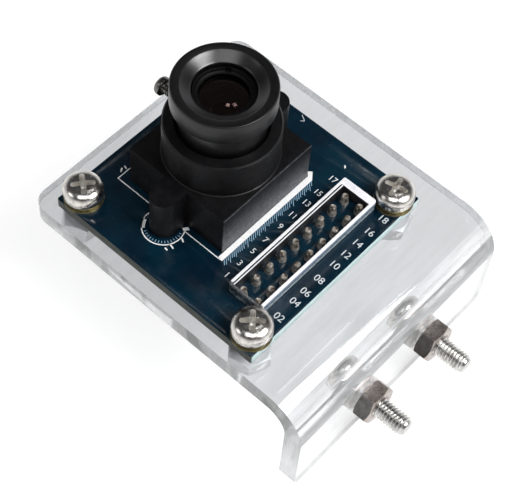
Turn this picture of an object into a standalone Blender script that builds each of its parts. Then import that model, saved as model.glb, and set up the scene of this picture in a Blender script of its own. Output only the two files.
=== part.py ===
"""Camera plate for a pan and tilt head: a clear L bracket that carries a small camera board.

The lens axis points up (+Z).  The bracket's leg hangs down at -Y and bolts to the head, and its
outer face lies in the plane Y = 0.  The origin is on that face, midway between its two screws.
Every dimension below is in millimetres, and is turned into metres when a mesh is made.
"""

import math

import bmesh
import bpy
from mathutils import Matrix, Vector

MM = 0.001
FIT = 0.05            # gap between two faces that rest on each other
ROUND = 16            # sides of a screw
NUT_ROUND = 12        # sides of a nut's bore
GLASS_ROUND = 24      # sides of a lens element or ring
LENS_ROUND = 40       # sides of the lens and its holder

# Bracket, bent from one sheet
SHEET = 2.8
PLATE_WIDTH = 41.0
PLATE_REACH = 48.9    # from the leg's outer face to the plate's free edge
PLATE_TOP = 11.35
LEG_BOTTOM = -6.5
BEND_OUTER = 6.2
PLATE_CORNER = 2.4
LEG_CORNER = 1.2
BEND_STEPS = 8

# Camera board
BOARD_X, BOARD_Y = -1.6, 28.2      # its centre
BOARD_WIDTH, BOARD_LENGTH, BOARD_THICK = 34.0, 35.0, 1.6
BOARD_BOTTOM = PLATE_TOP + FIT
BOARD_TOP = BOARD_BOTTOM + BOARD_THICK
BOARD_HOLE_X, BOARD_HOLE_Y = 14.35, 15.1   # half the distance between the screws

# M3 fasteners
M3_SHANK = 1.47
M3_CLEAR = 1.65
HEAD_RADIUS, HEAD_HEIGHT = 2.8, 2.4
NUT_FLATS, NUT_HEIGHT, NUT_BORE = 5.5, 2.4, 1.56
WASHER_INNER, WASHER_OUTER, WASHER_THICK = 1.6, 2.35, 0.8
SCREW_LENGTH = 10.0
MOUNT_SCREW_X = 6.5
CLEAR_STRIP = 3.3     # half the width of the leg's flat strip that lies clear between the nuts
TINY = 0.001          # closer than this is the same place

# Lens, its holder and the sensor, measured from the board's top face
LENS_X, LENS_Y = BOARD_X + 0.5, BOARD_Y + 4.2
BLOCK_WIDTH, BLOCK_LENGTH, BLOCK_HEIGHT = 17.1, 16.8, 7.1
BLOCK_WALL = 1.8
FLOOR_BOTTOM, FLOOR_TOP = 2.8, 3.6         # the shelf that holds the infrared filter
APERTURE = 3.4      # radius of the round window in the shelf
COLLAR_RADIUS, COLLAR_TOP = 7.9, 12.95
LUG_RADIUS, LUG_X = 1.93, 10.8
BARREL_RADIUS, BORE_RADIUS = 5.98, 6.05
BARREL_BOTTOM, FLANGE_BOTTOM, LENS_TOP = 5.2, 16.9, 20.1
FLANGE_RADIUS = 6.97
SEAT_RADIUS, THROAT_RADIUS = 4.2, 3.3
CONE_RADIUS, CONE_DEPTH = 5.7, 0.85
FRONT_SEAT, REAR_SEAT = 17.0, 8.9
LOCK_HEIGHT = 10.6
LOCK_SHANK, LOCK_HOLE, LOCK_HEAD = 0.78, 0.85, 1.35
LOCK_STANDOFF = 2.4
TAPPING_SHANK, TAPPING_LENGTH, TAPPING_HEAD = 0.78, 6.2, 1.6
TAPPING_PILOT, TAPPING_CLEAR = 0.85, 0.95
PILOT_DEPTH = 5.2
MIDDLE_BOTTOM, MIDDLE_TOP = 12.6, 13.4
REAR_BOTTOM, REAR_TOP = 6.6, 7.9
STOP_HEIGHT, STOP_OPENING = 15.1, 1.2
REAR_RING_BOTTOM, RING_OPENING = 5.6, 3.4
SENSOR_HALF, SENSOR_HEIGHT = 4.2, 1.15
COVER_HALF, COVER_BOTTOM, COVER_TOP = 3.6, 1.2, 1.7
FILTER_HALF, FILTER_THICK = 4.4, 0.5

# Pin header, soldered through the board from below
PITCH = 2.54
HEADER_COLUMNS, HEADER_ROWS = 9, 2
HEADER_X, HEADER_Y = BOARD_X - 0.7, BOARD_Y - 11.72
HOUSING_HEIGHT = 2.5
PIN_TAIL = 1.15
PIN_DROP = 6.0
PIN_HOLE = 0.5
FRAME_LEFT, FRAME_RIGHT = BOARD_X - 11.75, BOARD_X + 11.45
FRAME_NEAR, FRAME_FAR = BOARD_Y - 14.25, BOARD_Y - 8.65
FRAME_HEIGHT, FRAME_WALL, FRAME_THIN_WALL = 2.0, 0.6, 0.25


# ---------------------------------------------------------------- helpers

def clear_scene():
    for thing in list(bpy.data.objects):
        bpy.data.objects.remove(thing, do_unlink=True)


def make_material(name, colour, roughness, metallic=0.0):
    material = bpy.data.materials.new(name)
    material.use_nodes = True
    shader = material.node_tree.nodes["Principled BSDF"]
    shader.inputs["Base Color"].default_value = (*colour, 1.0)
    shader.inputs["Roughness"].default_value = roughness
    shader.inputs["Metallic"].default_value = metallic
    material.diffuse_color = (*colour, 1.0)
    return material


def mesh_from(bm, name, smooth_angle=35.0):
    """Turn a bmesh in millimetres into a mesh in metres, with its faces pointing out."""
    bmesh.ops.recalc_face_normals(bm, faces=bm.faces)
    bmesh.ops.scale(bm, vec=(MM, MM, MM), verts=bm.verts)
    mesh = bpy.data.meshes.new(name)
    bm.to_mesh(mesh)
    bm.free()
    mesh.shade_smooth()
    mesh.set_sharp_from_angle(angle=math.radians(smooth_angle))
    return mesh


def place(name, mesh, colour, location=(0, 0, 0), rotation=(0, 0, 0), parent=None):
    thing = bpy.data.objects.new(name, mesh)
    bpy.context.scene.collection.objects.link(thing)
    thing.location = Vector(location) * MM
    thing.rotation_euler = [math.radians(angle) for angle in rotation]
    if not mesh.materials:
        mesh.materials.append(colour)
    if parent is not None:
        thing.parent = parent
    return thing


def turned(profile, sides):
    """Spin a closed outline of (radius, height) points about Z."""
    bm = bmesh.new()
    corners = [bm.verts.new((radius, 0.0, height)) for radius, height in profile]
    for one, other in zip(corners, corners[1:] + corners[:1]):
        bm.edges.new((one, other))
    bmesh.ops.spin(bm, geom=bm.verts[:] + bm.edges[:], axis=(0, 0, 1), cent=(0, 0, 0),
                   angle=math.tau, steps=sides, use_merge=True)
    bmesh.ops.remove_doubles(bm, verts=bm.verts, dist=1e-4)
    bmesh.ops.dissolve_degenerate(bm, edges=bm.edges, dist=1e-4)
    loose = [edge for edge in bm.edges if not edge.link_faces]
    bmesh.ops.delete(bm, geom=loose, context="EDGES")
    return bm


def prism(outline, bottom, top):
    """Extrude a flat outline of (x, y) points from one height to another."""
    bm = bmesh.new()
    face = bm.faces.new([bm.verts.new((x, y, bottom)) for x, y in outline])
    grown = bmesh.ops.extrude_face_region(bm, geom=[face])["geom"]
    lifted = [item for item in grown if isinstance(item, bmesh.types.BMVert)]
    bmesh.ops.translate(bm, vec=(0, 0, top - bottom), verts=lifted)
    return bm


def circle(radius, sides, x=0.0, y=0.0):
    angles = [math.tau * step / sides for step in range(sides)]
    return [(x + radius * math.cos(angle), y + radius * math.sin(angle)) for angle in angles]


def rectangle(left, right, near, far, corner=0.0, steps=4):
    """A rectangle's outline, with round corners where corner is more than nothing."""
    if corner <= 0:
        return [(left, near), (right, near), (right, far), (left, far)]
    centres = [(right - corner, far - corner, 0), (left + corner, far - corner, 90),
               (left + corner, near + corner, 180), (right - corner, near + corner, 270)]
    outline = []
    for x, y, first in centres:
        for step in range(steps + 1):
            angle = math.radians(first + 90.0 * step / steps)
            outline.append((x + corner * math.cos(angle), y + corner * math.sin(angle)))
    return outline


def merged(pieces):
    """Put several bmeshes in one, each still a separate closed body."""
    whole = bmesh.new()
    for piece in pieces:
        mesh = bpy.data.meshes.new("step")
        piece.to_mesh(mesh)
        piece.free()
        whole.from_mesh(mesh)
        bpy.data.meshes.remove(mesh)
    return whole


def boolean(target, pieces, operation, name):
    """Cut pieces from a target, or join them to it, with a hidden guide object."""
    guide = bpy.data.objects.new(name, mesh_from(merged(pieces), name))
    bpy.context.scene.collection.objects.link(guide)
    guide.parent = target
    guide.hide_render = True
    guide.display_type = "WIRE"
    modifier = target.modifiers.new(name, "BOOLEAN")
    modifier.operation = operation
    modifier.solver = "EXACT"
    modifier.object = guide


def shifted(bm, shift):
    bmesh.ops.translate(bm, vec=shift, verts=bm.verts)
    return bm


def turned_about(bm, axis, degrees, shift=(0, 0, 0)):
    bmesh.ops.rotate(bm, verts=bm.verts, matrix=Matrix.Rotation(math.radians(degrees), 3, axis))
    return shifted(bm, shift)


# ---------------------------------------------------------------- bracket

def bracket_section():
    """The sheet's section in the YZ plane, as (y, z) points round the L."""
    inner = BEND_OUTER - SHEET
    centre_y, centre_z = BEND_OUTER, PLATE_TOP - BEND_OUTER
    outline = [(SHEET, LEG_BOTTOM), (0.0, LEG_BOTTOM)]
    for step in range(BEND_STEPS + 1):
        angle = math.radians(180.0 - 90.0 * step / BEND_STEPS)
        outline.append((centre_y + BEND_OUTER * math.cos(angle),
                        centre_z + BEND_OUTER * math.sin(angle)))
    outline += [(PLATE_REACH, PLATE_TOP), (PLATE_REACH, PLATE_TOP - SHEET)]
    for step in range(BEND_STEPS + 1):
        angle = math.radians(90.0 + 90.0 * step / BEND_STEPS)
        outline.append((centre_y + inner * math.cos(angle), centre_z + inner * math.sin(angle)))
    return outline


def round_sheet_corners(bm):
    """Round the plate's two free corners and the leg's two lower ones."""
    bm.edges.ensure_lookup_table()

    def corner_edges(axis, test):
        found = []
        for edge in bm.edges:
            one, other = edge.verts[0].co, edge.verts[1].co
            along = (other - one).normalized()
            if abs(along[axis]) > 0.999 and edge.calc_length() < SHEET * 1.01 and test(one):
                found.append(edge)
        return found

    plate = corner_edges(2, lambda point: point.y > PLATE_REACH - 0.01)
    bmesh.ops.bevel(bm, geom=plate, offset=PLATE_CORNER, segments=4, profile=0.5,
                     affect="EDGES")
    leg = corner_edges(1, lambda point: point.z < LEG_BOTTOM + 0.01)
    bmesh.ops.bevel(bm, geom=leg, offset=LEG_CORNER, segments=3, profile=0.5,
                     affect="EDGES")


def make_bracket(clear_plastic):
    half = PLATE_WIDTH / 2
    bm = prism(bracket_section(), -half, half)
    # the section lies in XY with the extrusion along Z: stand it up so that X is the width
    cycle = Matrix(((0, 0, 1), (1, 0, 0), (0, 1, 0)))
    bmesh.ops.transform(bm, matrix=cycle.to_4x4(), verts=bm.verts)
    bmesh.ops.recalc_face_normals(bm, faces=bm.faces)
    round_sheet_corners(bm)
    bracket = place("acrylic_bracket", mesh_from(bm, "acrylic_bracket"), clear_plastic)

    below, above = PLATE_TOP - SHEET - 1, PLATE_TOP + 1
    cutters = [prism(circle(M3_CLEAR, 16, x, y), below, above) for x, y in board_screw_places()]
    for x in (-MOUNT_SCREW_X, MOUNT_SCREW_X):
        hole = prism(circle(M3_CLEAR, 16), -1, SHEET + 1)
        cutters.append(turned_about(hole, "X", -90, (x, 0, 0)))
    cutters.append(prism(header_outline(0.2, 0.9), below, above))
    cutters.append(prism(component_window(), below, above))
    boolean(bracket, cutters, "DIFFERENCE", "bracket_cutter")
    divide_leg(bracket)
    return bracket


def divide_leg(bracket):
    """Give the leg's clear strip between the nuts a face of its own, that a plate can lie on."""
    bend_start = PLATE_TOP - BEND_OUTER
    bm = bmesh.new()
    bm.from_mesh(bracket.data)
    bmesh.ops.scale(bm, vec=(1 / MM, 1 / MM, 1 / MM), verts=bm.verts)
    for x in (-CLEAR_STRIP, CLEAR_STRIP):
        leg = [vert for vert in bm.verts if vert.co.z < bend_start + TINY]
        on_leg = set(leg)
        leg += [edge for edge in bm.edges if on_leg.issuperset(edge.verts)]
        leg += [face for face in bm.faces if on_leg.issuperset(face.verts)]
        bmesh.ops.bisect_plane(bm, geom=leg, plane_co=(x, 0, 0), plane_no=(1, 0, 0))
    for side in (0, SHEET):
        strip = []
        for face in bm.faces:
            centre = face.calc_center_median()
            if abs(centre.x) < CLEAR_STRIP and abs(centre.y - side) < TINY and centre.z < bend_start:
                strip.append(face)
        bmesh.ops.dissolve_faces(bm, faces=strip)
    bmesh.ops.scale(bm, vec=(MM, MM, MM), verts=bm.verts)
    bm.to_mesh(bracket.data)
    bm.free()


def component_window():
    """The opening under the sensor that clears the parts on the board's back."""
    return rectangle(LENS_X - 13.0, LENS_X + 13.0, LENS_Y - 8.5, LENS_Y + 7.5, 1.5)


def header_outline(margin, corner):
    half_x = HEADER_COLUMNS * PITCH / 2 + margin
    half_y = HEADER_ROWS * PITCH / 2 + margin
    return rectangle(HEADER_X - half_x, HEADER_X + half_x,
                     HEADER_Y - half_y, HEADER_Y + half_y, corner, 2)


# ---------------------------------------------------------------- board

def board_screw_places():
    return [(BOARD_X + side_x * BOARD_HOLE_X, BOARD_Y + side_y * BOARD_HOLE_Y)
            for side_x, side_y in ((-1, -1), (1, -1), (1, 1), (-1, 1))]


def pin_places():
    places = []
    for row in range(HEADER_ROWS):
        for column in range(HEADER_COLUMNS):
            x = HEADER_X + (column - (HEADER_COLUMNS - 1) / 2) * PITCH
            y = HEADER_Y + (row - (HEADER_ROWS - 1) / 2) * PITCH
            places.append((x, y))
    return places


def lug_places():
    return [(LENS_X + side * LUG_X, LENS_Y) for side in (-1, 1)]


def make_board(laminate):
    outline = rectangle(BOARD_X - BOARD_WIDTH / 2, BOARD_X + BOARD_WIDTH / 2,
                        BOARD_Y - BOARD_LENGTH / 2, BOARD_Y + BOARD_LENGTH / 2)
    board = place("camera_board", mesh_from(prism(outline, BOARD_BOTTOM, BOARD_TOP), "camera_board"),
                  laminate)
    below, above = BOARD_BOTTOM - 1, BOARD_TOP + 1
    cutters = [prism(circle(M3_CLEAR, 16, x, y), below, above) for x, y in board_screw_places()]
    cutters += [prism(circle(PIN_HOLE, 8, x, y), below, above) for x, y in pin_places()]
    cutters += [prism(circle(TAPPING_CLEAR, 12, x, y), below, above) for x, y in lug_places()]
    boolean(board, cutters, "DIFFERENCE", "board_cutter")


# ---------------------------------------------------------------- fasteners

def cross_recess(half_length, half_width, top, depth):
    """Two crossed bars that taper towards the bottom of a Phillips recess."""
    bars = []
    for turn in (0, 90):
        bar = prism(rectangle(-half_length, half_length, -half_width, half_width), top - depth,
                    top + 0.5)
        for vert in bar.verts:
            if vert.co.z < top - depth / 2:
                vert.co.x *= 0.55
                vert.co.y *= 0.7
        bars.append(turned_about(bar, "Z", turn))
    return bars


def screw_mesh(name, length, radius, head_radius, head_height, sides):
    """A pan head screw: the head's flat underside is at height 0 and the shank points down."""
    rim = head_radius
    profile = [(0, head_height), (rim * 0.5, head_height * 0.94), (rim * 0.85, head_height * 0.7),
               (rim, head_height * 0.35), (rim, 0.0), (radius, 0.0),
               (radius, -length + radius * 0.3), (radius * 0.7, -length), (0, -length)]
    return mesh_from(turned(profile, sides), name)


def make_screw(name, mesh, steel, location, rotation, recess):
    half_length, half_width, top, depth = recess
    screw = place(name, mesh, steel, location, rotation)
    bars = cross_recess(half_length, half_width, top, depth)
    boolean(screw, bars[:1], "DIFFERENCE", name + "_slot_a")
    boolean(screw, bars[1:], "DIFFERENCE", name + "_slot_b")
    return screw


def nut_mesh():
    """A hexagon nut from its top at height 0 down, with two corners on its X axis."""
    bm = bmesh.new()
    steps = NUT_ROUND
    rings = {}
    for key, height in (("top", 0.0), ("bottom", -NUT_HEIGHT)):
        for side in ("inner", "outer"):
            ring = []
            for step in range(steps):
                angle = math.tau * step / steps
                flat = math.remainder(angle - math.pi / 6, math.pi / 3)
                radius = NUT_BORE if side == "inner" else NUT_FLATS / 2 / math.cos(flat)
                ring.append(bm.verts.new((radius * math.cos(angle), radius * math.sin(angle), height)))
            rings[key, side] = ring
    around = [("top", "inner"), ("top", "outer"), ("bottom", "outer"), ("bottom", "inner")]
    for one, other in zip(around, around[1:] + around[:1]):
        for step in range(steps):
            after = (step + 1) % steps
            bm.faces.new((rings[one][step], rings[one][after],
                          rings[other][after], rings[other][step]))
    return mesh_from(bm, "hexagon_nut", 25)


def washer_mesh():
    """A split spring washer standing on height 0, with its slit cut at a slant."""
    slit = math.radians(9)
    lean = math.radians(8)
    bm = bmesh.new()
    steps = 18
    rings = []
    for step in range(steps + 1):
        ring = []
        for radius, height in ((WASHER_INNER, 0.0), (WASHER_OUTER, 0.0),
                               (WASHER_OUTER, WASHER_THICK), (WASHER_INNER, WASHER_THICK)):
            angle = slit / 2 + (math.tau - slit) * step / steps + lean * height / WASHER_THICK
            ring.append(bm.verts.new((radius * math.cos(angle), radius * math.sin(angle), height)))
        rings.append(ring)
    for one, other in zip(rings, rings[1:]):
        for side in range(4):
            after = (side + 1) % 4
            bm.faces.new((one[side], one[after], other[after], other[side]))
    bm.faces.new(rings[0])
    bm.faces.new(rings[-1])
    return mesh_from(bm, "spring_washer")


def make_m3_fasteners(steel, brassy):
    """Four screws that hold the board, and two that hold the leg, each with its nut."""
    screw = screw_mesh("m3_screw", SCREW_LENGTH, M3_SHANK, HEAD_RADIUS, HEAD_HEIGHT, ROUND)
    nut = nut_mesh()
    washer = washer_mesh()
    recess = (1.5, 0.42, HEAD_HEIGHT, 1.3)
    turns = (40, 12, 70, 25)
    under_head = BOARD_TOP + WASHER_THICK + 2 * FIT
    for number, ((x, y), turn) in enumerate(zip(board_screw_places(), turns), 1):
        make_screw(f"board_screw_{number}", screw, steel, (x, y, under_head), (0, 0, turn), recess)
        place(f"board_washer_{number}", washer, brassy, (x, y, BOARD_TOP + FIT), (0, 0, 3 * turn))
        place(f"board_nut_{number}", nut, steel, (x, y, PLATE_TOP - SHEET - FIT), (0, 0, turn))
    for number, x in enumerate((-MOUNT_SCREW_X, MOUNT_SCREW_X), 1):
        make_screw(f"mount_screw_{number}", screw, steel, (x, SHEET + FIT, 0), (-90, 0, 0), recess)
        place(f"mount_nut_{number}", nut, steel, (x, -FIT, 0), (-90, 0, 0))


# ---------------------------------------------------------------- lens holder

def holder_outline():
    """The block's outline seen from above, with a half-round lug on its left and right sides."""
    width, length = BLOCK_WIDTH / 2, BLOCK_LENGTH / 2
    outline = []
    for side in (1, -1):
        corner_x = LENS_X + side * width
        outline += [(corner_x, LENS_Y - side * length), (corner_x, LENS_Y - side * LUG_RADIUS)]
        for step in range(13):
            angle = math.radians(-90 + 180 * step / 12)
            outline.append((LENS_X + side * (LUG_X + LUG_RADIUS * math.cos(angle)),
                            LENS_Y + side * LUG_RADIUS * math.sin(angle)))
        outline += [(corner_x, LENS_Y + side * LUG_RADIUS), (corner_x, LENS_Y + side * length)]
    return outline


def make_holder(black_plastic):
    """The moulded block on the board, with the threaded collar that the lens screws into."""
    room_x, room_y = BLOCK_WIDTH / 2 - BLOCK_WALL, BLOCK_LENGTH / 2 - BLOCK_WALL
    block = prism(holder_outline(), BOARD_TOP + FIT, BOARD_TOP + BLOCK_HEIGHT)
    holder = place("lens_holder", mesh_from(block, "lens_holder"), black_plastic)
    collar = turned([(0, BLOCK_HEIGHT - 1), (COLLAR_RADIUS, BLOCK_HEIGHT - 1),
                     (COLLAR_RADIUS, COLLAR_TOP), (0, COLLAR_TOP)], LENS_ROUND)
    chamber = prism(rectangle(LENS_X - room_x, LENS_X + room_x, LENS_Y - room_y, LENS_Y + room_y),
                    BOARD_TOP - 1, BOARD_TOP + FLOOR_BOTTOM)
    bore = turned([(0, FLOOR_BOTTOM - 0.5), (APERTURE, FLOOR_BOTTOM - 0.5), (APERTURE, FLOOR_TOP),
                   (BORE_RADIUS, FLOOR_TOP), (BORE_RADIUS, COLLAR_TOP + 1), (0, COLLAR_TOP + 1)],
                  LENS_ROUND)
    # the hole's corners are turned off the collar's own corners, so that no two edges coincide
    lock = turned_about(prism(circle(LOCK_HOLE, 12), BORE_RADIUS - 1, COLLAR_RADIUS + 1), "Z", 8)
    pilots = [prism(circle(TAPPING_PILOT, 12, x, y), BOARD_TOP - 1, BOARD_TOP + PILOT_DEPTH)
              for x, y in lug_places()]
    lens_place = (LENS_X, LENS_Y, BOARD_TOP)
    lock_place = (LENS_X, LENS_Y, BOARD_TOP + LOCK_HEIGHT)
    boolean(holder, [chamber] + pilots, "DIFFERENCE", "chamber_cutter")
    boolean(holder, [shifted(collar, lens_place)], "UNION", "collar_guide")
    boolean(holder, [turned_about(lock, "X", -90, lock_place)], "DIFFERENCE", "lock_hole_cutter")
    boolean(holder, [shifted(bore, lens_place)], "DIFFERENCE", "bore_cutter")


def make_holder_screws(steel):
    """Self-tapping screws that come up through the board into the holder's two lugs."""
    mesh = screw_mesh("holder_screw", TAPPING_LENGTH, TAPPING_SHANK, TAPPING_HEAD, 1.0, ROUND)
    recess = (0.9, 0.28, 1.0, 0.6)
    for number, (x, y) in enumerate(lug_places(), 1):
        make_screw(f"holder_screw_{number}", mesh, steel, (x, y, BOARD_BOTTOM - FIT), (180, 0, 20),
                   recess)


def make_lock_screw(steel, parent):
    length = COLLAR_RADIUS + LOCK_STANDOFF - BARREL_RADIUS - 0.25
    mesh = screw_mesh("lock_screw", length, LOCK_SHANK, LOCK_HEAD, 1.15, ROUND)
    recess = (0.8, 0.24, 1.15, 0.6)
    screw = make_screw("lens_lock_screw", mesh, steel, (0, COLLAR_RADIUS + LOCK_STANDOFF, 0),
                       (-90, 0, 0), recess)
    screw.parent = parent


# ---------------------------------------------------------------- lens

def make_barrel(black_metal, parent):
    """The lens barrel: M12 thread below, a wide grip above, and a stepped hole right through."""
    profile = [
        (SEAT_RADIUS, BARREL_BOTTOM), (BARREL_RADIUS - 0.4, BARREL_BOTTOM),
        (BARREL_RADIUS, BARREL_BOTTOM + 0.4), (BARREL_RADIUS, FLANGE_BOTTOM - 0.1),
        (FLANGE_RADIUS - 0.5, FLANGE_BOTTOM), (FLANGE_RADIUS, FLANGE_BOTTOM + 0.5),
        (FLANGE_RADIUS, LENS_TOP - 0.12), (FLANGE_RADIUS - 0.12, LENS_TOP),
        (CONE_RADIUS, LENS_TOP), (SEAT_RADIUS, LENS_TOP - CONE_DEPTH),
        (SEAT_RADIUS, FRONT_SEAT), (THROAT_RADIUS, FRONT_SEAT),
        (THROAT_RADIUS, REAR_SEAT), (SEAT_RADIUS, REAR_SEAT)]
    place("lens_barrel", mesh_from(turned(profile, LENS_ROUND), "lens_barrel"), black_metal,
          parent=parent)


def dome(radius, rim_height, rise, steps=3):
    """Points over a spherical cap, from its rim in to its middle."""
    ball = (radius * radius + rise * rise) / (2 * rise)
    points = []
    for step in range(steps + 1):
        r = radius * (1 - step / steps)
        points.append((r, rim_height + math.sqrt(ball * ball - r * r) - (ball - rise)))
    return points


def element_mesh(name, radius, bottom, edge_top, rise, hollow=0.0):
    """A lens element: domed on top, and flat or hollow beneath."""
    profile = dome(radius, edge_top, rise)
    if hollow > 0:
        profile += [(r, bottom + (height - edge_top)) for r, height
                    in reversed(dome(radius * 0.8, edge_top, hollow))]
        profile += [(radius, bottom)]
    else:
        profile += [(0.0, bottom), (radius, bottom)]
    return mesh_from(turned(profile, GLASS_ROUND), name, 50)


def make_glass(glass, black_metal, carriage, barrel_empty):
    """The glass elements, which move with the lens, and the rings that hold them."""
    loose = 0.05
    front = element_mesh("front_element", SEAT_RADIUS - loose, FRONT_SEAT + FIT, FRONT_SEAT + 0.75,
                         0.75)
    middle = element_mesh("middle_element", THROAT_RADIUS - loose, MIDDLE_BOTTOM, MIDDLE_TOP, 0.5)
    rear = element_mesh("rear_element", SEAT_RADIUS - loose, REAR_BOTTOM, REAR_TOP, 0.8)
    place("front_element", front, glass, parent=carriage)
    place("middle_element", middle, glass, parent=carriage)
    place("rear_element", rear, glass, parent=carriage)

    outer = SEAT_RADIUS - 0.03
    front_ring = [(3.45, FRONT_SEAT + 1.05), (outer, FRONT_SEAT + 0.85), (outer, FRONT_SEAT + 1.6),
                  (3.85, FRONT_SEAT + 1.6)]
    low, high = REAR_RING_BOTTOM, REAR_RING_BOTTOM + 0.9
    rear_ring = [(RING_OPENING, low), (outer, low), (outer, high), (RING_OPENING, high)]
    stop = THROAT_RADIUS - 0.03
    stop_ring = [(STOP_OPENING, STOP_HEIGHT - 0.1), (stop, STOP_HEIGHT - 0.3),
                 (stop, STOP_HEIGHT + 0.3), (STOP_OPENING, STOP_HEIGHT + 0.1)]
    place("front_retaining_ring", mesh_from(turned(front_ring, GLASS_ROUND), "front_ring"), black_metal,
          parent=barrel_empty)
    place("rear_retaining_ring", mesh_from(turned(rear_ring, GLASS_ROUND), "rear_ring"), black_metal,
          parent=barrel_empty)
    place("aperture_stop", mesh_from(turned(stop_ring, GLASS_ROUND), "aperture_stop"), black_metal,
          parent=barrel_empty)


def make_sensor(filter_glass, ceramic, glass):
    """The image sensor on the board, its cover glass, and the infrared filter above it."""
    def slab(name, half, bottom, top, colour):
        outline = rectangle(LENS_X - half, LENS_X + half, LENS_Y - half, LENS_Y + half)
        place(name, mesh_from(prism(outline, BOARD_TOP + bottom, BOARD_TOP + top), name), colour)

    filter_top = FLOOR_BOTTOM - FIT
    slab("image_sensor", SENSOR_HALF, FIT, SENSOR_HEIGHT, ceramic)
    slab("sensor_cover_glass", COVER_HALF, COVER_BOTTOM, COVER_TOP, glass)
    slab("infrared_filter", FILTER_HALF, filter_top - FILTER_THICK, filter_top, filter_glass)


# ---------------------------------------------------------------- header and parts on the back

def pin_mesh():
    """A pin with its solder cone: height 0 is the board's top face."""
    under = BOARD_THICK + 2 * FIT + HOUSING_HEIGHT
    profile = [(0, PIN_TAIL), (0.3, PIN_TAIL - 0.06), (0.38, 0.45), (0.56, FIT), (0.42, FIT),
               (0.42, -BOARD_THICK - 0.02), (0.34, -BOARD_THICK - 0.1),
               (0.34, -under - PIN_DROP), (0, -under - PIN_DROP)]
    return mesh_from(turned(profile, 8), "header_pin")


def make_header(black_plastic, tin, white_plastic):
    top = BOARD_BOTTOM - FIT
    housing = place("header_housing",
                    mesh_from(prism(header_outline(0.0, 0.7), top - HOUSING_HEIGHT, top), "housing"),
                    black_plastic)
    holes = [prism(circle(0.45, 8, x, y), top - HOUSING_HEIGHT - 1, top + 1) for x, y in pin_places()]
    boolean(housing, holes, "DIFFERENCE", "pin_hole_cutter")

    mesh = pin_mesh()
    for number, (x, y) in enumerate(pin_places(), 1):
        place(f"header_pin_{number:02d}", mesh, tin, (x, y, BOARD_TOP))

    base, crest = BOARD_TOP + FIT, BOARD_TOP + FRAME_HEIGHT
    outer = rectangle(FRAME_LEFT, FRAME_RIGHT, FRAME_NEAR, FRAME_FAR, 0.5, 3)
    frame = place("header_frame", mesh_from(prism(outer, base, crest), "header_frame"), white_plastic)
    inner = rectangle(FRAME_LEFT + FRAME_THIN_WALL, FRAME_RIGHT - FRAME_WALL,
                      FRAME_NEAR + FRAME_WALL, FRAME_FAR - FRAME_WALL)
    boolean(frame, [prism(inner, base - 1, crest + 1)], "DIFFERENCE", "frame_cutter")


def make_back_parts(black_plastic, ceramic):
    """Surface-mount parts on the board's back, inside the bracket's larger window."""
    regulator, capacitor = (2.9, 1.6, 1.1), (2.0, 1.25, 0.8)
    parts = [("voltage_regulator_1", -8.5, -4.5, regulator, black_plastic),
             ("voltage_regulator_2", 8.5, -4.5, regulator, black_plastic),
             ("capacitor_1", -4.8, -6.3, capacitor, ceramic),
             ("capacitor_2", 4.8, -6.3, capacitor, ceramic),
             ("capacitor_3", -4.8, 5.6, capacitor, ceramic)]
    top = BOARD_BOTTOM - FIT
    for name, x, y, (width, length, height), colour in parts:
        outline = rectangle(LENS_X + x - width / 2, LENS_X + x + width / 2,
                            LENS_Y + y - length / 2, LENS_Y + y + length / 2)
        place(name, mesh_from(prism(outline, top - height, top), name), colour)


# ---------------------------------------------------------------- assembly

def make_empty(name, location, parent=None):
    empty = bpy.data.objects.new(name, None)
    bpy.context.scene.collection.objects.link(empty)
    empty.location = Vector(location) * MM
    if parent is not None:
        empty.parent = parent
    return empty


def build():
    clear_scene()
    clear_plastic = make_material("clear acrylic", (0.86, 0.88, 0.88), 0.08)
    laminate = make_material("board laminate", (0.002, 0.028, 0.055), 0.22)
    steel = make_material("nickel-plated steel", (0.62, 0.60, 0.57), 0.22, 1.0)
    brassy = make_material("spring washer steel", (0.55, 0.46, 0.33), 0.3, 1.0)
    black_plastic = make_material("black plastic", (0.012, 0.012, 0.014), 0.55)
    black_metal = make_material("black anodised aluminium", (0.01, 0.01, 0.012), 0.4, 0.2)
    glass = make_material("coated glass", (0.05, 0.04, 0.06), 0.02)
    filter_glass = make_material("infrared filter glass", (0.25, 0.45, 0.5), 0.05)
    ceramic = make_material("ceramic", (0.25, 0.2, 0.15), 0.5)
    tin = make_material("tin solder", (0.6, 0.58, 0.56), 0.3, 1.0)
    white_plastic = make_material("white translucent plastic", (0.85, 0.85, 0.87), 0.25)

    lens_axis = (LENS_X, LENS_Y, BOARD_TOP)
    carriage = make_empty("lens_carriage_axis", lens_axis)
    barrel = make_empty("lens_barrel_axis", (0, 0, 0), carriage)
    lock = make_empty("lock_screw_axis", (LENS_X, LENS_Y, BOARD_TOP + LOCK_HEIGHT))

    make_bracket(clear_plastic)
    make_board(laminate)
    make_m3_fasteners(steel, brassy)
    make_holder(black_plastic)
    make_holder_screws(steel)
    make_lock_screw(steel, lock)
    make_barrel(black_metal, barrel)
    make_glass(glass, black_metal, carriage, barrel)
    make_sensor(filter_glass, ceramic, glass)
    make_header(black_plastic, tin, white_plastic)
    make_back_parts(black_plastic, ceramic)


build()
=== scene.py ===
import math

import bmesh
import bpy
from mathutils import Matrix, Vector


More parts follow.
